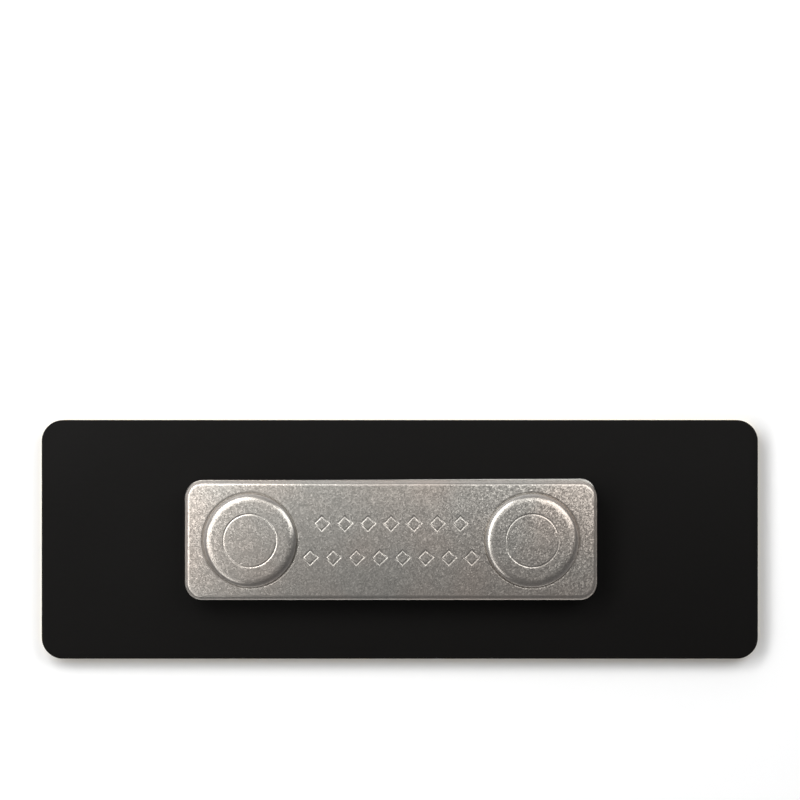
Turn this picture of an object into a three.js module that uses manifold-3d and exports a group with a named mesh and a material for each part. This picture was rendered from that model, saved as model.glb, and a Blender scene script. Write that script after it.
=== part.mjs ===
// A blank magnetic name badge, lying on its gold face with the fastener up.
// Millimetres, +X along the badge, +Y up its height, +Z from the gold face to the fastener.
// The origin is the middle of the gold face, on the surface that the badge lies on.

import * as THREE from 'three';
import { mergeVertices } from 'three/addons/utils/BufferGeometryUtils.js';
import Module from 'manifold-3d';

const wasm = await Module();
wasm.setup();

// Plate: a gold sheet bonded to a plastic board of the same outline
const badge_length = 76.2;
const badge_height = 25.4;
const badge_corner_radius = 2.25;
const face_thickness = 0.5;
const board_thickness = 1.5;

// Magnet cover: a steel tray, open towards the strip, with a rounded top edge, walls that lean in a little
// and a fine lip round its rim, where the drawn sheet was trimmed
const cover_length = 43.7;
const cover_width = 12.7;
const cover_height = 2.0;
const cover_corner_radius = 1.9;
const cover_metal = 0.5;
const cover_edge_radius = 0.5;
const cover_lean = 0.05;
const cover_lip_width = 0.12;
const cover_lip_height = 0.15;

// Strip under the cover's rim: stuck on by hand, a little turned and high, so a sliver shows past the cover
const strip_end_step = 0.15;
const strip_side_step = 0.1;
const strip_corner_radius = 1.6;
const strip_thickness = 0.8;
const strip_turn_deg = 0.3;
const strip_shift_y = 0.15;

// Foam pad under the strip
const pad_thickness = 0.8;
const pad_inset = 0.5;

// Round raised seats over the magnets: each has a coined groove round its foot, a shoulder that is broader
// than it is high, and a ring on its top
const seat_end_margin = 1.95;
const seat_side_margin = 1.35;
const seat_rise = 0.7;
const seat_shoulder_width = 0.95;
const seat_shoulder_height = 0.6;
const foot_groove_width = 0.25;
const foot_groove_depth = 0.1;
const ring_diameter = 5.6;
const ring_width = 0.25;
const ring_depth = 0.12;

// Disc magnets, glued up inside the seats
const magnet_side_gap = 0.25;
const magnet_recess = 0.15;
const magnet_bevel = 0.2;

// Grip marks: two rows of stamped lozenge outlines, as many as fit between the seats
const mark_width = 1.7;
const mark_height = 2.1;
const mark_line = 0.25;
const mark_depth = 0.15;
const mark_gap = 0.74;
const mark_row_gap = 1.5;
const mark_seat_gap = 0.5;

// Fits: bonded layers, the tray on the strip, and where the fastener sits on the board
const glue_line = 0.05;
const rim_gap = 0.05;
const fastener_shift_x = -0.93;

// Facets: steps in a corner or a rounded edge, sides of a round piece, and how far a cutter overshoots
const corner_steps = 6;
const edge_steps = 4;
const round_sides = 40;
const overshoot = 0.5;

// Heights of the layers above the surface
const board_z = face_thickness + glue_line;
const pad_z = board_z + board_thickness + glue_line;
const strip_z = pad_z + pad_thickness + glue_line;
const cover_z = strip_z + strip_thickness + rim_gap;

// Seats and grip marks, laid out in the cover
const seat_diameter = cover_width - 2 * seat_side_margin;
const seat_spacing = cover_length - 2 * seat_end_margin - seat_diameter;
const mark_pitch = mark_width + mark_gap;
const mark_span = seat_spacing - seat_diameter - 2 * mark_seat_gap;
const mark_count = Math.floor((mark_span + mark_gap) / mark_pitch);
const mark_row_y = (mark_height + mark_row_gap) / 2;
const mark_rows = [
  { count: mark_count - 1, y: mark_row_y },
  { count: mark_count, y: -mark_row_y },
];

// Heights inside the cover, above its rim
const seat_top = cover_height + seat_rise;
const seat_ceiling = seat_top - cover_metal;
const magnet_top = seat_ceiling - glue_line;
const magnet_radius = seat_diameter / 2 - cover_metal - magnet_side_gap;

const gold = new THREE.MeshStandardMaterial({ color: 0xd8bb6e, roughness: 0.35, metalness: 1.0 });
const black_plastic = new THREE.MeshStandardMaterial({ color: 0x1c1b19, roughness: 0.6, metalness: 0.0 });
const foam = new THREE.MeshStandardMaterial({ color: 0xdcdad2, roughness: 0.9, metalness: 0.0 });
const steel = new THREE.MeshStandardMaterial({ color: 0x96938c, roughness: 0.4, metalness: 1.0 });
const nickel = new THREE.MeshStandardMaterial({ color: 0xb6b4af, roughness: 0.25, metalness: 1.0 });

// Points of a rounded rectangle about the origin, counter-clockwise, the same number at any size
function roundedOutline(length, width, radius) {
  const corners = [
    { x: 1, y: 1 },
    { x: -1, y: 1 },
    { x: -1, y: -1 },
    { x: 1, y: -1 },
  ];
  return corners.flatMap((corner, quarter) => {
    const centre_x = corner.x * (length / 2 - radius);
    const centre_y = corner.y * (width / 2 - radius);
    return Array.from({ length: corner_steps + 1 }, (_, step) => {
      const angle = (Math.PI / 2) * (quarter + step / corner_steps);
      return new THREE.Vector2(centre_x + radius * Math.cos(angle), centre_y + radius * Math.sin(angle));
    });
  });
}

// The cover's outline, drawn in by an inset
function coverOutline(inset) {
  const radius = Math.max(cover_corner_radius - inset, cover_metal / 2);
  return roundedOutline(cover_length - 2 * inset, cover_width - 2 * inset, radius);
}

// A flat sheet of the outline, standing on z = 0
function sheet(outline, thickness) {
  return new THREE.ExtrudeGeometry(new THREE.Shape(outline), { depth: thickness, bevelEnabled: false });
}

// A closed body through a stack of outlines, lowest first, each with the same number of points
function loft(sections) {
  const count = sections[0].outline.length;
  const positions = sections.flatMap(({ outline, z }) => outline.flatMap((point) => [point.x, point.y, z]));
  const triangles = [];
  for (let level = 0; level < sections.length - 1; level++) {
    for (let side = 0; side < count; side++) {
      const low = level * count + side;
      const low_next = level * count + ((side + 1) % count);
      triangles.push(low, low_next, low_next + count, low, low_next + count, low + count);
    }
  }
  const top = (sections.length - 1) * count;
  for (const [a, b, c] of THREE.ShapeUtils.triangulateShape(sections[0].outline, [])) {
    triangles.push(a, c, b);
    triangles.push(top + a, top + b, top + c);
  }
  const geometry = new THREE.BufferGeometry();
  geometry.setAttribute('position', new THREE.Float32BufferAttribute(positions, 3));
  geometry.setIndex(triangles);
  return geometry;
}

// A body turned about +Z from [radius, height] points, listed upwards on the outside
function turned(profile) {
  const points = profile.map(([radius, z]) => new THREE.Vector2(radius, z));
  return new THREE.LatheGeometry(points, round_sides).rotateX(Math.PI / 2);
}

// A flat-bottomed ring groove's cutter
function ringCutter(inner, outer, bottom, top) {
  return turned([
    [inner, bottom],
    [outer, bottom],
    [outer, top],
    [inner, top],
    [inner, bottom],
  ]);
}

function toSolid(geometry) {
  const bare = geometry.clone();
  bare.deleteAttribute('normal');
  bare.deleteAttribute('uv');
  const merged = mergeVertices(bare, 1e-5);
  return new wasm.Manifold(
    new wasm.Mesh({
      numProp: 3,
      vertProperties: new Float32Array(merged.attributes.position.array),
      triVerts: new Uint32Array(merged.index.array),
    }),
  );
}

function toGeometry(solid) {
  const mesh = solid.getMesh();
  const geometry = new THREE.BufferGeometry();
  geometry.setAttribute('position', new THREE.BufferAttribute(mesh.vertProperties, 3));
  geometry.setIndex(new THREE.BufferAttribute(mesh.triVerts, 1));
  geometry.computeVertexNormals();
  return geometry;
}

// Outside of the tray: the lip, the leaning wall, then the rounded top edge
function trayOutside() {
  const edge_z = cover_height - cover_edge_radius;
  const edge_inset = cover_lip_width + cover_lean;
  const sections = [
    { outline: coverOutline(0), z: 0 },
    { outline: coverOutline(0), z: cover_lip_height },
    { outline: coverOutline(cover_lip_width), z: cover_lip_height },
  ];
  for (let step = 0; step <= edge_steps; step++) {
    const angle = (Math.PI / 2) * (step / edge_steps);
    sections.push({
      outline: coverOutline(edge_inset + cover_edge_radius * (1 - Math.cos(angle))),
      z: edge_z + cover_edge_radius * Math.sin(angle),
    });
  }
  return loft(sections);
}

// Inside of the tray: one sheet thickness in from the outside, run out below the rim
function trayInside() {
  const ceiling = cover_height - cover_metal;
  const wall_inset = cover_lip_width + cover_metal;
  const lean_per_mm = cover_lean / (cover_height - cover_lip_height - cover_edge_radius);
  return loft([
    { outline: coverOutline(wall_inset - lean_per_mm * overshoot), z: -overshoot },
    { outline: coverOutline(wall_inset + lean_per_mm * ceiling), z: ceiling },
  ]);
}

// Outside of one raised seat: a flat top with a rounded shoulder
function seatOutside() {
  const radius = seat_diameter / 2;
  const shoulder_height = Math.min(seat_shoulder_height, seat_rise);
  const root = cover_height - cover_metal / 2;
  const profile = [
    [0, root],
    [radius, root],
  ];
  for (let step = 0; step <= edge_steps; step++) {
    const angle = (Math.PI / 2) * (step / edge_steps);
    profile.push([
      radius - seat_shoulder_width * (1 - Math.cos(angle)),
      seat_top - shoulder_height * (1 - Math.sin(angle)),
    ]);
  }
  profile.push([0, seat_top]);
  return turned(profile);
}

// Inside of one raised seat, from below the rim up to the seat's ceiling
function seatInside() {
  const radius = seat_diameter / 2 - cover_metal;
  return turned([
    [0, -overshoot],
    [radius, -overshoot],
    [radius, seat_ceiling],
    [0, seat_ceiling],
  ]);
}

// One stamped lozenge outline's cutter, about the origin
function markCutter() {
  const lozenge = (grow) => [
    new THREE.Vector2(mark_width / 2 + grow, 0),
    new THREE.Vector2(0, mark_height / 2 + (grow * mark_height) / mark_width),
    new THREE.Vector2(-mark_width / 2 - grow, 0),
    new THREE.Vector2(0, -mark_height / 2 - (grow * mark_height) / mark_width),
  ];
  const line_across = (mark_line * Math.hypot(mark_width, mark_height)) / mark_height;
  const shape = new THREE.Shape(lozenge(0));
  shape.holes.push(new THREE.Path(lozenge(-line_across)));
  const depth = mark_depth + overshoot;
  const cutter = new THREE.ExtrudeGeometry(shape, { depth, bevelEnabled: false });
  return cutter.translate(0, 0, cover_height - mark_depth);
}

function magnetCover() {
  const seats = [-seat_spacing / 2, seat_spacing / 2];
  const foot = seat_diameter / 2;
  let cover = toSolid(trayOutside());
  for (const x of seats) {
    const foot_groove = ringCutter(
      foot - cover_metal / 2,
      foot + foot_groove_width,
      cover_height - foot_groove_depth,
      cover_height + overshoot,
    );
    cover = cover.subtract(toSolid(foot_groove.translate(x, 0, 0)));
    cover = cover.add(toSolid(seatOutside().translate(x, 0, 0)));
  }
  cover = cover.subtract(toSolid(trayInside()));
  for (const x of seats) {
    const ring = ringCutter(
      (ring_diameter - ring_width) / 2,
      (ring_diameter + ring_width) / 2,
      seat_top - ring_depth,
      seat_top + overshoot,
    );
    cover = cover.subtract(toSolid(seatInside().translate(x, 0, 0)));
    cover = cover.subtract(toSolid(ring.translate(x, 0, 0)));
  }
  for (const row of mark_rows) {
    for (let index = 0; index < row.count; index++) {
      const x = (index - (row.count - 1) / 2) * mark_pitch;
      cover = cover.subtract(toSolid(markCutter().translate(x, row.y, 0)));
    }
  }
  return toGeometry(cover);
}

// A disc magnet from its recess above the rim to the glue under the seat's ceiling
function discMagnet() {
  return turned([
    [0, magnet_recess],
    [magnet_radius - magnet_bevel, magnet_recess],
    [magnet_radius, magnet_recess + magnet_bevel],
    [magnet_radius, magnet_top - magnet_bevel],
    [magnet_radius - magnet_bevel, magnet_top],
    [0, magnet_top],
  ]);
}

function piece(name, geometry, material, x, y, z) {
  const mesh = new THREE.Mesh(geometry, material);
  mesh.name = name;
  mesh.position.set(x, y, z);
  return mesh;
}

const badge_outline = roundedOutline(badge_length, badge_height, badge_corner_radius);
const strip_length = cover_length - 2 * strip_end_step;
const strip_width = cover_width - 2 * strip_side_step;
const strip_outline = roundedOutline(strip_length, strip_width, strip_corner_radius);
const pad_outline = roundedOutline(
  strip_length - 2 * pad_inset,
  strip_width - 2 * pad_inset,
  Math.max(strip_corner_radius - pad_inset, pad_inset / 2),
);

// The badge plate, and the strip that stays on it
const badge = new THREE.Group();
badge.add(piece('face_plate', sheet(badge_outline, face_thickness), gold, 0, 0, 0));
badge.add(piece('back_board', sheet(badge_outline, board_thickness), black_plastic, 0, 0, board_z));

const strip_group = new THREE.Group();
strip_group.position.set(fastener_shift_x, strip_shift_y, 0);
strip_group.rotation.z = THREE.MathUtils.degToRad(strip_turn_deg);
strip_group.add(piece('adhesive_pad', sheet(pad_outline, pad_thickness), foam, 0, 0, pad_z));
strip_group.add(piece('base_strip', sheet(strip_outline, strip_thickness), steel, 0, 0, strip_z));
badge.add(strip_group);

// The magnet bar, which pulls off the strip along +Z
const magnet_bar = new THREE.Group();
magnet_bar.position.set(fastener_shift_x, 0, cover_z);
magnet_bar.add(piece('magnet_cover', magnetCover(), steel, 0, 0, 0));
magnet_bar.add(piece('magnet_left', discMagnet(), nickel, -seat_spacing / 2, 0, 0));
magnet_bar.add(piece('magnet_right', discMagnet(), nickel, seat_spacing / 2, 0, 0));

const name_badge = new THREE.Group();
name_badge.add(badge, magnet_bar);

export default name_badge;
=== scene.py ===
# %% [markdown]
# # A magnetic name badge, from measured model to picture
#
# The badge is a thin plate: a brushed gold sheet on a black plastic board. It lies on its gold face, so the back shows,
# with the steel bar that holds the two magnets. The measured model gives every piece its size and place. This
# notebook gives each piece its fine shape and its finish, then sets up the floor, the light and the camera.

# %% Load the measured model
import math

import bpy
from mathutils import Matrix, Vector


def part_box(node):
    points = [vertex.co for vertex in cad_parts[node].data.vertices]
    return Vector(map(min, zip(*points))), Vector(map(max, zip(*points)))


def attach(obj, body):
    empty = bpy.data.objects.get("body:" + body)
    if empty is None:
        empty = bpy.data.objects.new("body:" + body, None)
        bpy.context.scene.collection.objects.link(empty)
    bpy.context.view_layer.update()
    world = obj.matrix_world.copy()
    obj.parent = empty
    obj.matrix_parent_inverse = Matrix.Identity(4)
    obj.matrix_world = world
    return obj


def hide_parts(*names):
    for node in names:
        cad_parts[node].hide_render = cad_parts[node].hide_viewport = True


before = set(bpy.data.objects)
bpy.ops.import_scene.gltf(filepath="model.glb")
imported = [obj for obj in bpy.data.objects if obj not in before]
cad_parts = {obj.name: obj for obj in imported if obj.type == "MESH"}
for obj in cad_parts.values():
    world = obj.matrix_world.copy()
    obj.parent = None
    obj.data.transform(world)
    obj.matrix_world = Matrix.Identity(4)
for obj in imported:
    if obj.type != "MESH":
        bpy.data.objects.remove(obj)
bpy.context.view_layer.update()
print("measured pieces:", sorted(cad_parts))

# %% [markdown]
# ## Working in millimetres
#
# Blender counts in metres, and its editing tools expect pieces of about a metre. A badge edge of a tenth of a
# millimetre is so small there that they round it away. So each piece is modelled with one unit to the millimetre,
# where its numbers are also easy to read, and is scaled down at the very end.

# %% Millimetres, and the measured boxes in them
MM = 0.001
touching = 0.0005


def box_mm(node):
    """The lowest and highest corner of a measured piece, in millimetres."""
    low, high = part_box(node)
    return low / MM, high / MM


face_low, face_high = box_mm("face_plate")
board_low, board_high = box_mm("back_board")
pad_low, pad_high = box_mm("adhesive_pad")
strip_low, strip_high = box_mm("base_strip")
cover_low, cover_high = box_mm("magnet_cover")
badge_size = face_high - face_low
cover_size = cover_high - cover_low
print(f"badge {badge_size.x:.1f} x {badge_size.y:.1f} mm, {cover_high.z:.2f} mm thick over the magnets")

# %% [markdown]
# ## Selecting by hand, in code
#
# An editing tool acts on whatever is selected. In a window that is a click. Here, everything is deselected first, and
# then the faces, edges or points that pass a test are picked. Heights that differ by less than `touching` count as
# the same.


# %% Pick parts of a mesh
def pick(piece, kind, wanted):
    """Enter edit mode with only those faces, edges or points selected for which wanted(part) is true."""
    bpy.ops.object.mode_set(mode="EDIT")
    bpy.ops.mesh.select_mode(type=kind)
    bpy.ops.mesh.select_all(action="DESELECT")
    bpy.ops.object.mode_set(mode="OBJECT")
    parts = {"VERT": piece.data.vertices, "EDGE": piece.data.edges, "FACE": piece.data.polygons}[kind]
    for part in parts:
        part.select = bool(wanted(part))
    bpy.ops.object.mode_set(mode="EDIT")


def is_level(piece, edge):
    """True for a level edge: on a freshly pulled-up plate, those are the top and bottom outlines."""
    first, second = (piece.data.vertices[index].co for index in edge.vertices)
    return abs(first.z - second.z) < touching


def is_level_at(piece, edge, z):
    """True for an edge that lies at this height."""
    return all(abs(piece.data.vertices[index].co.z - z) < touching for index in edge.vertices)


def count_face_uses(piece):
    """How many faces each edge has: two everywhere, if the piece is closed."""
    uses = {edge.key: 0 for edge in piece.data.edges}
    for face in piece.data.polygons:
        for key in face.edge_keys:
            uses[key] += 1
    return uses


# %% Start a piece, pull it up, break its edges and finish it
def start_plate(name, length, width, corner_radius, centre, low_z, corner_steps=14):
    """A flat face with rounded corners, in edit mode and selected: the start of every sheet-like piece."""
    bpy.ops.object.select_all(action="DESELECT")
    bpy.ops.mesh.primitive_plane_add(size=1)
    piece = bpy.context.active_object
    piece.name = name
    piece.data.name = name
    piece.scale = (length, width, 1)
    piece.location = (centre[0], centre[1], low_z)
    bpy.ops.object.transform_apply(location=True, rotation=True, scale=True)
    bpy.ops.object.mode_set(mode="EDIT")
    bpy.ops.mesh.select_all(action="SELECT")
    bpy.ops.mesh.bevel(offset=corner_radius, offset_type="OFFSET", segments=corner_steps, affect="VERTICES")
    bpy.ops.mesh.select_mode(type="FACE")
    bpy.ops.mesh.select_all(action="SELECT")
    return piece


def pull_up(height):
    """Extrude the selected face straight up."""
    bpy.ops.mesh.extrude_region_move(TRANSFORM_OT_translate={"value": (0, 0, height)})


def break_edges(piece, size, steps):
    """Round the sharp outlines at the top and the bottom of a piece."""
    pick(piece, "EDGE", lambda edge: is_level(piece, edge))
    bpy.ops.mesh.bevel(offset=size, offset_type="OFFSET", segments=steps, affect="EDGES")


def finish_piece(piece, smooth_angle=32):
    """Close the piece, smooth its rounded stretches and scale it down to metres."""
    bpy.ops.object.mode_set(mode="EDIT")
    bpy.ops.mesh.select_mode(type="VERT")
    bpy.ops.mesh.select_all(action="SELECT")
    bpy.ops.mesh.remove_doubles(threshold=touching)
    bpy.ops.mesh.normals_make_consistent(inside=False)
    bpy.ops.object.mode_set(mode="OBJECT")
    bpy.ops.object.select_all(action="DESELECT")
    piece.select_set(True)
    bpy.context.view_layer.objects.active = piece
    piece.scale = (MM, MM, MM)
    bpy.ops.object.transform_apply(location=True, rotation=True, scale=True)
    bpy.ops.object.shade_smooth_by_angle(angle=math.radians(smooth_angle))
    open_edges = sum(uses != 2 for uses in count_face_uses(piece).values())
    print(f"{piece.name}: {len(piece.data.polygons)} faces, {open_edges} edges that aren't closed")


# %% [markdown]
# ## Colours and nodes
#
# A colour picked from a picture is an sRGB value, which is bent to suit a screen. Light adds up in linear values, so
# one function turns the one into the other. The others add a shader node with its settings and its links, begin and
# end a material, and give a piece its finish.


# %% Colour, node and material helpers
def linear(hex_colour):
    """An sRGB colour such as #c7ae5e as the linear RGBA that a socket takes."""
    channels = [int(hex_colour[start : start + 2], 16) / 255 for start in (1, 3, 5)]
    bent = [c / 12.92 if c <= 0.04045 else ((c + 0.055) / 1.055) ** 2.4 for c in channels]
    return (*bent, 1.0)


def add_node(tree, kind, inputs=None, **settings):
    """Add one node. Each input is a value, or another node's output to link."""
    made = tree.nodes.new(kind)
    for name, value in settings.items():
        setattr(made, name, value)
    for name, value in (inputs or {}).items():
        if isinstance(value, bpy.types.NodeSocket):
            tree.links.new(value, made.inputs[name])
        else:
            made.inputs[name].default_value = value
    return made


def new_material(name):
    """A material with no nodes yet, and its tree."""
    material = bpy.data.materials.new(name)
    material.use_nodes = True
    material.node_tree.nodes.clear()
    return material, material.node_tree


def add_shader(tree, inputs):
    """Add the one shader of a material, and plug it into the output."""
    shader = add_node(tree, "ShaderNodeBsdfPrincipled", inputs)
    add_node(tree, "ShaderNodeOutputMaterial", {"Surface": shader.outputs["BSDF"]})


def dress(piece, material, body, slot, *nodes):
    """Give the piece its finish, let it ride on its body and hide the measured nodes that it takes the place of."""
    piece.data.materials.clear()
    piece.data.materials.append(material)
    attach(piece, body)
    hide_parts(*nodes)


# %% [markdown]
# ### Patterns
#
# Every finish is made of a few patterns. A noise gives soft blotches of a chosen width, and stretched along X it gives
# strokes. Nearly all of its values lie between 0.3 and 0.7, so that middle range is what gets spread over a range
# of roughness or over a ramp of two colours. Other helpers blend two patterns, and turn one into a bump.


# %% Pattern helpers
def object_place(tree):
    """Where on the piece each point lies, in metres."""
    return add_node(tree, "ShaderNodeTexCoord").outputs["Object"]


def per_mm(size_mm):
    """The texture scale that makes a pattern's features about this many millimetres wide."""
    return 1 / (size_mm * MM)


def noise(tree, place, size_mm, detail):
    """Soft blotches of about this width."""
    scale = per_mm(size_mm)
    return add_node(tree, "ShaderNodeTexNoise", {"Vector": place, "Scale": scale, "Detail": detail}).outputs["Fac"]


def streaks(tree, place, length, width, detail):
    """A noise stretched along X into strokes of about this length and width, in millimetres."""
    scale = (per_mm(length), per_mm(width), per_mm(width))
    stretched = add_node(tree, "ShaderNodeMapping", {"Vector": place, "Scale": scale}).outputs["Vector"]
    return add_node(
        tree, "ShaderNodeTexNoise", {"Vector": stretched, "Scale": 1.0, "Detail": detail, "Roughness": 0.6}
    ).outputs["Fac"]


def spread(tree, value, low, high, from_low=0.3, from_high=0.7):
    """Turn a pattern's middle range into a range of some setting."""
    return add_node(
        tree,
        "ShaderNodeMapRange",
        {"Value": value, "From Min": from_low, "From Max": from_high, "To Min": low, "To Max": high},
    ).outputs["Result"]


def ramp(tree, value, low_colour, high_colour, from_low=0.3, from_high=0.7):
    """Turn a pattern's middle range into the colours between two sRGB colours."""
    made = add_node(tree, "ShaderNodeValToRGB", {"Fac": value})
    stops = zip(made.color_ramp.elements, (from_low, from_high), (low_colour, high_colour))
    for stop, position, colour in stops:
        stop.position = position
        stop.color = linear(colour)
    return made.outputs["Color"]


def blend(tree, share, first, second, kind="FLOAT"):
    """Mix two numbers or two colours. A share of 0 is all first, 1 is all second."""
    return add_node(
        tree, "ShaderNodeMix", {"Factor": share, "A": first, "B": second}, data_type=kind
    ).outputs["Result"]


def bump(tree, height, strength, depth_mm, **under):
    """The surface normal over a pattern of heights. A bump that lies under this one is given as Normal."""
    return add_node(
        tree, "ShaderNodeBump", {"Height": height, "Strength": strength, "Distance": depth_mm * MM, **under}
    ).outputs["Normal"]


# %% [markdown]
# ## The plate: gold sheet and black board
#
# The real plate is cut from sheet, so its faces are flat and its edges are only broken with a fine file or by the
# cutter. A box with a bevel would do, but its corners need a plan radius too. So a flat face gets its four corner
# points bevelled, is pulled up to its thickness, and then the sharp edges round it get a bevel of their own. That
# tiny bevel matters: it catches the light, and without it the plate looks like a paper cut-out.

# %% Model the two layers of the plate
badge_corner_radius = 2.25
sheet_edge_break = 0.06
board_edge_break = 0.12


def plate_layer(name, low, high, edge_break):
    """One flat layer with rounded corners and broken edges."""
    size = high - low
    piece = start_plate(name, size.x, size.y, badge_corner_radius, (low + high) / 2, low.z)
    pull_up(size.z)
    break_edges(piece, edge_break, 3)
    finish_piece(piece)
    return piece


gold_sheet = plate_layer("gold_sheet", face_low, face_high, sheet_edge_break)
plastic_board = plate_layer("plastic_board", board_low, board_high, board_edge_break)

# %% [markdown]
# ## Brushed gold
#
# The sheet is aluminium, brushed along its length and anodised gold. Brushing leaves fine grooves, a tenth of a
# millimetre apart and several millimetres long. They can't be seen one by one from far off, but they spread each
# highlight across the grain. Two things make that look here: a noise stretched along X, which moves the colour, the
# roughness and the bump a little, and the shader's own anisotropy. Its tangent follows the sheet's UV map, and a
# quarter turn makes the highlight stretch across the grooves.

# %% Brushed gold anodised aluminium
streak_width = 0.13
streak_length = 6.0
streak_depth = 0.02
band_width = 1.1
band_length = 45.0
band_share = 0.25


def brushed_gold():
    """Fine grooves along X, over broader bands, in two golds."""
    material, tree = new_material("brushed gold anodised aluminium")
    place = object_place(tree)
    fine = streaks(tree, place, streak_length, streak_width, 3.0)
    broad = streaks(tree, place, band_length, band_width, 1.0)
    along = add_node(tree, "ShaderNodeTangent", direction_type="UV_MAP", uv_map="UVMap")
    add_shader(
        tree,
        {
            "Base Color": ramp(tree, blend(tree, band_share, fine, broad), "#cfae5c", "#f0d98c"),
            "Metallic": 1.0,
            "Roughness": spread(tree, fine, 0.24, 0.38),
            "Anisotropic": 0.75,
            "Anisotropic Rotation": 0.25,
            "Normal": bump(tree, fine, 0.35, streak_depth),
            "Tangent": along.outputs["Tangent"],
        },
    )
    return material


dress(gold_sheet, brushed_gold(), "badge", "gold_sheet", "face_plate")

# %% [markdown]
# ## Matt black board
#
# The board is ABS with a fine matt grain, so it is nearly black and has no clear reflection. Even matt plastic isn't
# one flat grey: the grain makes its sheen a little uneven. A noise of a fifth of a millimetre moves the colour and
# the bump, and a broad one moves the roughness, where hands have polished the board slightly.

# %% Matt black ABS
board_grain = 0.2
board_grain_depth = 0.01
board_rub = 14.0


def matt_black():
    """A fine grain, with a sheen that changes from place to place."""
    material, tree = new_material("matt black ABS")
    place = object_place(tree)
    grain = noise(tree, place, board_grain, 2.0)
    rub = noise(tree, place, board_rub, 2.0)
    add_shader(
        tree,
        {
            "Base Color": ramp(tree, grain, "#0e0d0c", "#100f0e"),
            "Roughness": spread(tree, rub, 0.5, 0.6),
            "IOR": 1.53,
            "Specular IOR Level": 0.06,
            "Normal": bump(tree, grain, 0.12, board_grain_depth),
        },
    )
    return material


dress(plastic_board, matt_black(), "badge", "black_plastic", "back_board")

# %% [markdown]
# ## Foam tape and steel strip
#
# Under the bar lies a flat steel strip, stuck to the board with foam tape. It was laid by hand, so both are turned by
# a third of a degree. A piece that is turned on its object would slide its pattern, so the points are turned in edit
# mode and the object stays straight. The tape is cut from a roll: sharp edges, with sides that bulge very slightly
# under the strip. The strip is blanked from sheet, so its edges are only just broken.

# %% Model the strip
strip_turn = math.radians(0.3)
strip_corner_radius = 1.6
strip_edge_break = 0.08
strip_length = 43.4
strip_width = 12.5
strip_centre = (strip_low + strip_high) / 2


def turn_flat(piece, angle, centre):
    """Turn all points about the vertical line through centre."""
    bpy.ops.object.mode_set(mode="EDIT")
    bpy.ops.mesh.select_all(action="SELECT")
    pivot = (centre[0], centre[1], 0)
    bpy.ops.transform.rotate(value=-angle, orient_axis="Z", orient_type="GLOBAL", center_override=pivot)
    bpy.ops.object.mode_set(mode="OBJECT")


steel_strip = start_plate(
    "steel_strip", strip_length, strip_width, strip_corner_radius, strip_centre, strip_low.z
)
pull_up(strip_high.z - strip_low.z)
break_edges(steel_strip, strip_edge_break, 2)
turn_flat(steel_strip, strip_turn, strip_centre)
finish_piece(steel_strip)

# %% Model the tape
tape_inset = 0.5
tape_bulge = 0.08
tape_bulge_steps = 6
foam_tape = start_plate(
    "foam_tape",
    strip_length - 2 * tape_inset,
    strip_width - 2 * tape_inset,
    strip_corner_radius - tape_inset,
    strip_centre,
    pad_low.z,
)
for step in range(tape_bulge_steps):
    before = math.sin(math.pi * step / tape_bulge_steps)
    after = math.sin(math.pi * (step + 1) / tape_bulge_steps)
    pull_up((pad_high.z - pad_low.z) / tape_bulge_steps)
    outwards = tape_bulge * (after - before)
    bpy.ops.transform.resize(
        value=(1 + 2 * outwards / strip_length, 1 + 2 * outwards / strip_width, 1),
        center_override=(strip_centre.x, strip_centre.y, 0),
    )
turn_flat(foam_tape, strip_turn, strip_centre)
finish_piece(foam_tape)
for piece, high in ((steel_strip, strip_high), (foam_tape, pad_high)):
    right_end = max(point.co.x for point in piece.data.vertices) / MM
    print(f"{piece.name} reaches x = {right_end:.3f} mm, measured {high.x:.3f} mm")

# %% [markdown]
# ## Foam and plated steel finishes
#
# Foam tape is a mass of small closed bubbles, cut open where the tape was slit, so its side is speckled with pits. A
# Voronoi pattern with cells of a tenth of a millimetre gives them, and paints shade into each pit. The strip is
# cold-rolled steel with a thin coat of zinc: free of the bar's speckle, with faint rolling lines along its length.

# %% Polyethylene foam and zinc-plated steel
bubble_size = 0.12
bubble_depth = 0.03
roll_line_width = 0.25
roll_line_length = 8.0
roll_line_depth = 0.01


def polyethylene_foam():
    """Small round pits, with painted shade inside them."""
    material, tree = new_material("polyethylene foam tape")
    bubbles = add_node(
        tree, "ShaderNodeTexVoronoi", {"Vector": object_place(tree), "Scale": per_mm(bubble_size)}
    ).outputs["Distance"]
    add_shader(
        tree,
        {
            # Painted shade: the colour is darkest at each cell's middle, where the bump sinks the pit deepest.
            "Base Color": ramp(tree, bubbles, "#a9a69d", "#d9d6cd", 0.0, 0.6),
            "Roughness": 0.85,
            "IOR": 1.5,
            "Normal": bump(tree, bubbles, 0.5, bubble_depth),
        },
    )
    return material


def zinc_plated_steel():
    """Faint rolling lines along X."""
    material, tree = new_material("zinc-plated rolled steel")
    lines = streaks(tree, object_place(tree), roll_line_length, roll_line_width, 2.0)
    add_shader(
        tree,
        {
            "Base Color": ramp(tree, lines, "#94928d", "#b0aea9"),
            "Metallic": 1.0,
            "Roughness": spread(tree, lines, 0.36, 0.46),
            "Normal": bump(tree, lines, 0.15, roll_line_depth),
        },
    )
    return material


dress(foam_tape, polyethylene_foam(), "badge", "foam_tape", "adhesive_pad")
dress(steel_strip, zinc_plated_steel(), "badge", "strip_steel", "base_strip")

# %% [markdown]
# ## The magnet cover
#
# The bar is one piece of steel sheet, pressed in a tool: a shallow tray with upright walls and a rolled top edge,
# with two round seats pushed up for the magnets, and stamped lines. It could be cut out of a block with booleans, but
# pressed metal has soft lips where the sheet bends, and cuts don't. So it is modelled the way it is pressed: the
# flat face is inset again and again, each time a little inwards and a little up or down. A short table of such
# steps is the section of the bend.

# %% Steps of a pressed section, as (inwards, up) in millimetres
upright = 90
level = 0
groove_step_count = 6


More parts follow.
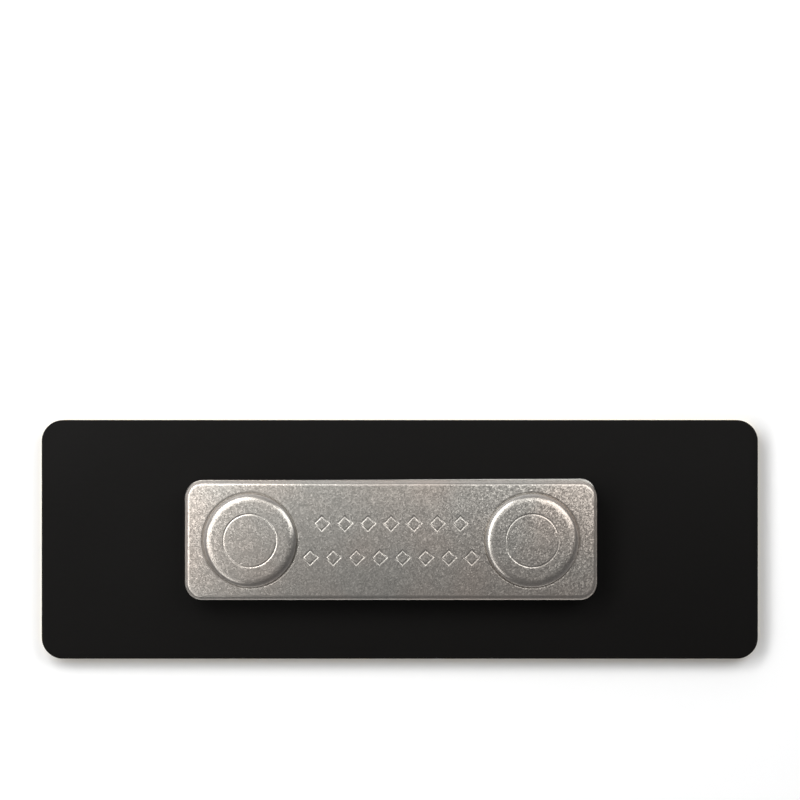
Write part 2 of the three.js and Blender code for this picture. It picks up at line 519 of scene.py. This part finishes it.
def bend(radius, from_tilt, to_tilt, steps):
    """A round bend from one tilt to another, in degrees: 90 is upright, 0 is level."""
    tilts = [math.radians(from_tilt + (to_tilt - from_tilt) * step / steps) for step in range(steps + 1)]
    return [
        (radius * abs(math.sin(low) - math.sin(high)), radius * abs(math.cos(low) - math.cos(high)))
        for low, high in zip(tilts, tilts[1:])
    ]


def straight(height, tilt):
    """A straight wall of this height at this tilt."""
    return [(height / math.tan(math.radians(tilt)), height)]


def reach(steps):
    """How far a list of steps goes inwards, and how far up."""
    return sum(inwards for inwards, _ in steps), sum(up for _, up in steps)


def groove_steps(width, depth):
    """A soft-lipped groove: down and up again along one wave."""
    count = groove_step_count
    heights = [-depth * (1 - math.cos(2 * math.pi * step / count)) / 2 for step in range(count + 1)]
    return [(width / count, high - low) for low, high in zip(heights, heights[1:])]


def press(steps, each_alone=False):
    """Inset the selected faces once for each step."""
    for inwards, up in steps:
        bpy.ops.mesh.inset(thickness=inwards, depth=up, use_individual=each_alone)


# %% The section of the walls and the rolled edge
tray_depth = 2.0
rim_height = 0.1
lip_radius = 0.06
lip_tilt = 20
lip_flat = 0.03
edge_radius = 0.62
edge_tilt = 55
edge_corner = 0.05
lip_section = [(0.0, rim_height)] + bend(lip_radius, upright, lip_tilt, 3) + [(lip_flat, 0.0)]
edge_section = bend(edge_corner, upright, edge_tilt, 2) + bend(edge_radius, edge_tilt, level, 8)
lip_width, lip_height = reach(lip_section)
wall_section = [(0.0, tray_depth - lip_height - reach(edge_section)[1])]
outside_section = lip_section + wall_section + edge_section
print(f"lip {lip_width:.3f} mm wide, walls and edge {reach(outside_section)[0]:.3f} mm in all")

# %% [markdown]
# ### Stamped grip marks
#
# Between the seats the bar has two rows of small stamped marks. Here they are plain lozenge outlines, as deep as a
# light punch goes. One row has one lozenge fewer, so the rows interlock.

# %% Places of the seats and the marks
seat_diameter = 10.0
seat_spacing = 29.8
mark_width = 1.7
mark_height = 2.1
mark_pitch = 2.44
mark_row_y = 1.8
mark_rows = ((7, mark_row_y), (8, -mark_row_y))
cover_centre = (cover_low + cover_high) / 2
seat_centres = [cover_centre.x - seat_spacing / 2, cover_centre.x + seat_spacing / 2]
mark_places = [
    (cover_centre.x + (index - (count - 1) / 2) * mark_pitch, y)
    for count, y in mark_rows
    for index in range(count)
]
print(len(mark_places), "marks, from x =", round(min(x for x, _ in mark_places), 2), "mm")

# %% [markdown]
# ### Laying out the top of the tray
#
# After the rolled edge, the tray's top is one large face. Round seats and stamped marks have to start from outlines in
# it. So the face is deleted but its edge is kept, circles and lozenges are added as faces of their own, and the Fill
# tool closes the flat between all the outlines. Every outline can then be pressed by itself. Each press begins and
# ends with a hair's breadth of flat: smooth shading blends over that strip, and the large flat stays truly flat.

# %% Shell of the tray, from its rim up
cover_corner_radius = 1.9
cover_corner_steps = 16
flat_margin = 0.03
seat_sides = 96


def pressed_tray(name, rim_inset, section, seat_radius, marks):
    """A tray as an open shell, with its seats and marks as flat faces in its top."""
    length = cover_size.x - 2 * rim_inset
    width = cover_size.y - 2 * rim_inset
    corner = cover_corner_radius - rim_inset
    piece = start_plate(name, length, width, corner, cover_centre, cover_low.z, cover_corner_steps)
    press(section + [(flat_margin, 0.0)])
    bpy.ops.mesh.delete(type="ONLY_FACE")
    top_z = cover_low.z + reach(section)[1]
    for x in seat_centres:
        bpy.ops.mesh.primitive_circle_add(
            vertices=seat_sides, radius=seat_radius, fill_type="NGON", location=(x, cover_centre.y, top_z)
        )
    for x, y in marks:
        bpy.ops.mesh.primitive_circle_add(
            vertices=4,
            radius=1,
            fill_type="NGON",
            location=(x, cover_centre.y + y, top_z),
            scale=(mark_width / 2, mark_height / 2, 1),
        )
    bpy.ops.object.mode_set(mode="OBJECT")
    face_uses = count_face_uses(piece)
    pick(piece, "EDGE", lambda edge: is_level_at(piece, edge, top_z) and face_uses[edge.key] < 2)
    bpy.ops.mesh.fill(use_beauty=True)
    return piece


# %% [markdown]
# ### Pressing the marks and the seats
#
# The marks get a soft-lipped groove along their outlines. Each seat starts with a shallow groove round its foot and
# rises steeply. Then its shoulder rolls over in three bends, each one wider and flatter than the one before, to a
# flat top with one stamped ring.

# %% The outside of the cover, with its marks
foot_groove_width = 0.2
foot_groove_depth = 0.03
mark_line = 0.27
mark_depth = 0.045


def is_mark(face):
    """True for the flat face of one mark."""
    return any(
        math.hypot(face.center.x - x, face.center.y - cover_centre.y - y) < flat_margin for x, y in mark_places
    )


seat_outline_radius = seat_diameter / 2 + foot_groove_width + flat_margin
cover = pressed_tray("magnet_bar_cover", 0.0, outside_section, seat_outline_radius, mark_places)
pick(cover, "FACE", is_mark)
press([(flat_margin, 0.0)] + groove_steps(mark_line, mark_depth) + [(flat_margin, 0.0)], each_alone=True)

# %% The seats
seat_rise = 0.7
seat_wall_tilt = 86
# Each row is one bend of the shoulder: its radius, the tilts it runs between and its number of steps.
seat_bends = ((0.36, seat_wall_tilt, 40, 4), (1.0, 40, 12, 5), (1.9, 12, level, 3))
ring_diameter = 5.6
ring_width = 0.26
ring_depth = 0.03
pick(cover, "FACE", lambda face: len(face.vertices) == seat_sides)
groove_down = groove_steps(2 * foot_groove_width, foot_groove_depth)[: groove_step_count // 2]
shoulder = [step for row in seat_bends for step in bend(*row)]
seat_side = straight(foot_groove_depth + seat_rise - reach(shoulder)[1], seat_wall_tilt) + shoulder
press([(flat_margin, 0.0)] + groove_down + seat_side + [(flat_margin, 0.0)])
flat_radius = seat_diameter / 2 - reach(seat_side)[0] - flat_margin
ring_start = (ring_diameter + ring_width) / 2 + flat_margin
press([(flat_radius - ring_start, 0.0), (flat_margin, 0.0)])
press(groove_steps(ring_width, ring_depth) + [(flat_margin, 0.0)])
bpy.ops.object.mode_set(mode="OBJECT")
print("outside:", len(cover.data.polygons), "faces, top at", round(max(v.co.z for v in cover.data.vertices), 3))

# %% [markdown]
# ### The inside, and the rim
#
# Steel sheet has a thickness, and it shows along the rim when the bar is lifted off. A Solidify modifier would push
# the stamped grooves through to the inside and tangle them. So the inside is pressed as a shell of its own, one sheet
# thickness in, and Fill closes the flat ring between the two rims. Its area is printed: it is the length of the
# rim times the width of the sheet and its lip, so a ring that is closed the wrong way round would show.

# %% The inside of the cover, joined to the outside
shell_gauge = 0.5
inner_edge_radius = 0.2
inner_depth = tray_depth - shell_gauge
inner_edge = bend(inner_edge_radius, upright, level, 4)
inside_section = [(0.0, inner_depth - inner_edge_radius)] + inner_edge
inside = pressed_tray(
    "cover_inside", lip_width + shell_gauge, inside_section, seat_diameter / 2 - shell_gauge, []
)
pick(inside, "FACE", lambda face: len(face.vertices) == seat_sides)
press([(0.0, seat_rise - inner_edge_radius)] + inner_edge)
bpy.ops.object.mode_set(mode="OBJECT")
bpy.ops.object.select_all(action="DESELECT")
inside.select_set(True)
cover.select_set(True)
bpy.context.view_layer.objects.active = cover
bpy.ops.object.join()
pick(cover, "EDGE", lambda edge: is_level_at(cover, edge, cover_low.z))
bpy.ops.mesh.fill(use_beauty=True)
bpy.ops.object.mode_set(mode="OBJECT")
rim_area = sum(face.area for face in cover.data.polygons if abs(face.center.z - cover_low.z) < touching)
print(f"rim: {rim_area:.1f} square mm of flat sheet edge")
finish_piece(cover)

# %% [markdown]
# ## Tumbled steel
#
# After pressing, the covers are tumbled with grit to take off the burrs. The flats come out satin, covered with tiny
# facets about a tenth of a millimetre wide. Each facet leans a little its own way and has its own grey, so one is
# bright and the next is dark. Whatever stands up or bends, such as the rolled edge, the shoulders and the stamped
# lines, is rubbed by its neighbours in the drum and turns out smoother. So the tilt of the surface decides between
# the two: level is satin, tilted is burnished.
#
# Pressed sheet is never quite flat either. It bows a little from side to side and its ends curl down, so the light
# rolls off towards them. The bow is a bump, and stronger than in a real cover, whose bow is a few hundredths of a
# millimetre. A few nicks from handling are dents in a second bump.

# %% Patterns of the tumbled steel
crown_height = 0.2
crown_power = 2.0
end_curl = 0.8
end_curl_power = 3.0
nick_spacing = 5.5
nick_size = 0.35
nick_slant = 0.5
nick_stretch = 2.6
nick_spared_below = 0.7


def number_math(tree, operation, *numbers):
    """The result of one Math node."""
    return add_node(tree, "ShaderNodeMath", dict(enumerate(numbers)), operation=operation).outputs["Value"]


def vector_math(tree, operation, *vectors, **others):
    """The result of one Vector Math node."""
    inputs = {**dict(enumerate(vectors)), **others}
    return add_node(tree, "ShaderNodeVectorMath", inputs, operation=operation).outputs["Vector"]


def crown(tree, place):
    """The drop of the pressed sheet below dead flat, in millimetres: a low crown, and ends that curl down."""
    middle = tuple(-value * MM for value in (cover_centre.x, cover_centre.y, 0))
    per_half = (2 / (cover_size.x * MM), 2 / (cover_size.y * MM), 0)
    share = vector_math(tree, "MULTIPLY", vector_math(tree, "ADD", place, middle), per_half)
    parts = add_node(tree, "ShaderNodeSeparateXYZ", {"Vector": share})
    drop = 0.0
    for axis, power, height in (("X", end_curl_power, end_curl), ("Y", crown_power, crown_height)):
        curve = number_math(tree, "POWER", number_math(tree, "ABSOLUTE", parts.outputs[axis]), power)
        drop = number_math(tree, "MULTIPLY_ADD", curve, -height, drop)
    return drop


def nicks(tree, place):
    """1 almost everywhere, falling to 0 in a few short dents."""
    slanted = add_node(
        tree,
        "ShaderNodeMapping",
        {"Vector": place, "Rotation": (0, 0, nick_slant), "Scale": (1.0, nick_stretch, 1.0)},
    ).outputs["Vector"]
    cells = add_node(tree, "ShaderNodeTexVoronoi", {"Vector": slanted, "Scale": per_mm(nick_spacing)})
    nick_edge = nick_size / 2 / nick_spacing
    clear = spread(tree, cells.outputs["Distance"], 0.0, 1.0, 0.0, nick_edge)
    lot = add_node(tree, "ShaderNodeSeparateColor", {"Color": cells.outputs["Color"]}).outputs["Red"]
    spared = number_math(tree, "LESS_THAN", lot, nick_spared_below)
    return number_math(tree, "MAXIMUM", clear, spared)


# %% Tumbled nickel-plated steel
speckle_size = 0.115
satin_speckle_tilt = 0.15
burnished_speckle_tilt = 0.025
cloud_size = 1.1
cloud_share = 0.4
warm_size = 9.0
warm_most = 0.5
warm_between = (0.4, 0.65)
nick_depth = 0.03
satin_roughness = (0.34, 0.38)
burnished_roughness = 0.28
# How much the surface faces straight up, from 0 to 1, where it is still satin and where it is fully burnished.
satin_above = 0.99
burnished_below = 0.93


def tumbled_steel():
    """Satin speckle on the flats, burnished where the sheet bends."""
    material, tree = new_material("tumbled nickel-plated steel")
    coordinates = add_node(tree, "ShaderNodeTexCoord")
    place = coordinates.outputs["Object"]
    faces_up = add_node(tree, "ShaderNodeSeparateXYZ", {"Vector": coordinates.outputs["Normal"]}).outputs["Z"]
    burnished = spread(tree, faces_up, 0.0, 1.0, satin_above, burnished_below)
    cells = add_node(tree, "ShaderNodeTexVoronoi", {"Vector": place, "Scale": per_mm(speckle_size)})
    speckle = add_node(tree, "ShaderNodeSeparateColor", {"Color": cells.outputs["Color"]}).outputs["Red"]
    mottle = blend(tree, cloud_share, speckle, noise(tree, place, cloud_size, 3.0))
    grey = ramp(tree, speckle, "#9e9b95", "#b9b5ae", 0.0, 1.0)
    warm_share = spread(tree, noise(tree, place, warm_size, 2.0), 0.0, warm_most, *warm_between)
    bowed = bump(tree, crown(tree, place), 1.0, 1.0)
    nicked = bump(tree, nicks(tree, place), 1.0, nick_depth, Normal=bowed)
    facets = vector_math(tree, "SUBTRACT", cells.outputs["Color"], (0.5, 0.5, 0.5))
    lean = spread(tree, burnished, satin_speckle_tilt, burnished_speckle_tilt, 0.0, 1.0)
    leaning = vector_math(tree, "SCALE", facets, Scale=lean)
    add_shader(
        tree,
        {
            "Base Color": blend(tree, warm_share, grey, linear("#bbada2"), "RGBA"),
            "Metallic": 1.0,
            "Roughness": blend(tree, burnished, spread(tree, mottle, *satin_roughness), burnished_roughness),
            "Normal": vector_math(tree, "NORMALIZE", vector_math(tree, "ADD", nicked, leaning)),
        },
    )
    return material


dress(cover, tumbled_steel(), "magnet_bar", "cover_steel", "magnet_cover")

# %% [markdown]
# ## The disc magnets
#
# They sit up inside the seats, so they show only when someone looks under the lifted bar. Each is a sintered disc
# with a ground chamfer and a bright nickel coat. A cylinder gives the disc, and a bevel of its two round edges the
# chamfer.

# %% Model and dress the magnets
magnet_sides = 80
magnet_chamfer = 0.2
nickel_ripple = 0.4
nickel_ripple_depth = 0.01


def disc_magnet(name, node):
    """A disc that fills the measured box, with chamfered edges."""
    low, high = box_mm(node)
    bpy.ops.object.select_all(action="DESELECT")
    bpy.ops.mesh.primitive_cylinder_add(
        vertices=magnet_sides, radius=(high.x - low.x) / 2, depth=high.z - low.z, location=(low + high) / 2
    )
    piece = bpy.context.active_object
    piece.name = name
    piece.data.name = name
    bpy.ops.object.transform_apply(location=True, rotation=True, scale=True)
    break_edges(piece, magnet_chamfer, 3)
    finish_piece(piece)
    return piece


def nickel_plate():
    """A bright coat with a faint ripple."""
    material, tree = new_material("nickel plate on sintered magnet")
    skin = noise(tree, object_place(tree), nickel_ripple, 3.0)
    add_shader(
        tree,
        {
            "Base Color": linear("#c9c3b8"),
            "Metallic": 1.0,
            "Roughness": spread(tree, skin, 0.14, 0.26),
            "Normal": bump(tree, skin, 0.1, nickel_ripple_depth),
        },
    )
    return material


nickel = nickel_plate()
for side in ("left", "right"):
    magnet = disc_magnet(f"disc_magnet_{side}", f"magnet_{side}")
    dress(magnet, nickel, "magnet_bar", "nickel_plate", f"magnet_{side}")

# %% [markdown]
# ## Floor and light
#
# The badge lies on a plain white floor. The room is pale, and brighter towards the upper left of the picture. The
# strongest soft light, the key, stands at the upper left too and makes the short shadow at the lower right. Weaker
# panels stand all round. Each is there for a part of the metal that faces it: the ends of the bowed bar, the
# shoulders of the seats and the rolled edges.

# %% Floor
floor_size = 0.8
bpy.ops.object.select_all(action="DESELECT")
bpy.ops.mesh.primitive_plane_add(size=floor_size, location=(0, 0, 0))
floor = bpy.context.active_object
floor.name = "floor"
floor_material, floor_tree = new_material("white paper floor")
add_shader(floor_tree, {"Base Color": linear("#f9f9f8"), "Roughness": 0.9, "Specular IOR Level": 0.1})
floor.data.materials.append(floor_material)

# %% Room light
zenith_strength = 0.125
horizon_strength = 0.34
upper_left_strength = 1.5
upper_left = (-0.5, 0.87, 0.0)
world = bpy.data.worlds.new("pale room")
bpy.context.scene.world = world
world.use_nodes = True
room = world.node_tree
room.nodes.clear()
direction = add_node(room, "ShaderNodeTexCoord").outputs["Generated"]
upwards = add_node(room, "ShaderNodeSeparateXYZ", {"Vector": direction}).outputs["Z"]
to_upper_left = add_node(
    room, "ShaderNodeVectorMath", {0: direction, 1: upper_left}, operation="DOT_PRODUCT"
).outputs["Value"]
horizon = spread(room, to_upper_left, horizon_strength, upper_left_strength, 0.0, 1.0)
strength = blend(room, upwards, horizon, zenith_strength)
background = add_node(room, "ShaderNodeBackground", {"Color": linear("#fbfbff"), "Strength": strength})
add_node(room, "ShaderNodeOutputWorld", {"Surface": background.outputs["Background"]})

# %% Softboxes
softbox_distance = 300
softbox_height = 80
# Azimuth is counted from +X towards +Y. Both angles are in degrees, the width is in millimetres.
softboxes = (
    # name, azimuth, elevation, width, watts
    ("key_softbox", 131, 50, 170, 0.34),
    ("upper_left_panel", 140, 62, 220, 0.14),
    ("left_panel", 180, 52, 130, 0.165),
    ("overhead_panel", 180, 74, 130, 0.01),
    ("low_left_panel", 225, 44, 130, 0.085),
    ("right_panel", 45, 62, 130, 0.17),
    ("low_right_panel", 36, 42, 150, 0.16),
)


def add_softbox(name, azimuth, elevation, width, watts):
    """A long area light that faces the badge."""
    turn, lift = math.radians(azimuth), math.radians(elevation)
    away = (math.cos(turn) * math.cos(lift), math.sin(turn) * math.cos(lift), math.sin(lift))
    light = bpy.data.lights.new(name, "AREA")
    light.shape = "RECTANGLE"
    light.size = width * MM
    light.size_y = softbox_height * MM
    light.energy = watts
    lamp = bpy.data.objects.new(name, light)
    bpy.context.scene.collection.objects.link(lamp)
    lamp.location = [softbox_distance * MM * part for part in away]
    lamp.rotation_euler = (math.pi / 2 - lift, 0, turn + math.pi / 2)


for row in softboxes:
    add_softbox(*row)
print(len(softboxes), "softboxes,", round(sum(row[-1] for row in softboxes), 3), "watts in all")

# %% [markdown]
# ## Camera
#
# The picture looks straight down on the badge through a long lens, so that the plate's outline stays square. The
# badge lies below the middle of the frame.

# %% Camera
picture_px = 800
plate_length_mm = 76.2
plate_length_px = 716.3
badge_middle_px = (399.8, 539.4)
lens_mm = 200
sensor_mm = 36
nearest_shown = 0.01
farthest_shown = 20
mm_per_px = plate_length_mm / plate_length_px
picture_mm = picture_px * mm_per_px
camera_data = bpy.data.cameras.new("camera")
camera_data.lens = lens_mm
camera_data.sensor_width = sensor_mm
camera_data.clip_start = nearest_shown
camera_data.clip_end = farthest_shown
camera = bpy.data.objects.new("camera", camera_data)
bpy.context.scene.collection.objects.link(camera)
camera.location = (
    (picture_px / 2 - badge_middle_px[0]) * mm_per_px * MM,
    (badge_middle_px[1] - picture_px / 2) * mm_per_px * MM,
    (board_high.z + picture_mm * lens_mm / sensor_mm) * MM,
)
bpy.context.scene.camera = camera
bpy.context.scene.view_settings.view_transform = "Standard"
print("camera at", [round(value / MM, 1) for value in camera.location], "mm")
